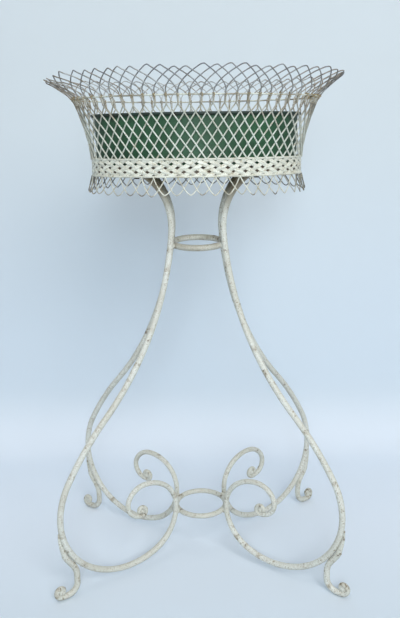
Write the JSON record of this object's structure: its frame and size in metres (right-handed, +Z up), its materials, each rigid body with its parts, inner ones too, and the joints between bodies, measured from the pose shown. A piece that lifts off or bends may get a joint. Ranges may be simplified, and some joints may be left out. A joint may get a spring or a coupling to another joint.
{
  "type": "wirework jardiniere",
  "caption": "Oval openwork wire basket with a lift-out metal liner, on scrolled round-bar legs joined by rings.",
  "frame": {"origin": "on the floor, on the axis of the two rings and in the middle between the feet but the back right one, which stands a little further back", "axes": "+Z up, X along the basket's length, -Y towards the front"},
  "size_m": [0.5228, 0.3536, 0.8977],
  "materials": {
    "stand_paint": "old cream paint on iron bar, chipped, with rust stains",
    "wire_paint": "old cream paint on thin wire, worn",
    "band_paint": "thick cream paint on woven strip and wire",
    "tie_binding": "rusted and stained binding at the knots",
    "liner_paint": "dark green paint on sheet metal, dull"
  },
  "bodies": {
    "stand": {"leg_front_left": "stand_paint", "leg_front_right": "stand_paint", "leg_back_right": "stand_paint", "leg_back_left": "stand_paint", "foot_front_left": "stand_paint", "foot_front_right": "stand_paint", "foot_back_right": "stand_paint", "foot_back_left": "stand_paint", "upper_ring": "stand_paint", "lower_ring": "stand_paint", "bearer_hoop": "stand_paint", "cross_bar_left": "stand_paint", "cross_bar_right": "stand_paint", "floor_rods": "stand_paint", "leg_rivets": "stand_paint", "lattice_wires_rising": "wire_paint", "lattice_wires_falling": "wire_paint", "rim_hoop": "wire_paint", "top_loops": "wire_paint", "band_bottom_wire": "band_paint", "band_top_wire": "band_paint", "band_strips_outer": "band_paint", "band_strips_inner": "band_paint", "fringe_loops": "band_paint", "rim_ties": "tie_binding"},
    "liner": {"liner_wall": "liner_paint", "liner_base": "liner_paint", "liner_rim_bead": "liner_paint"}
  },
  "joints": [
    {"name": "liner_lift", "type": "slide", "parent": "stand", "child": "liner", "axis": [0, 0, 1], "range_m": [0, 0.2]}
  ]
}
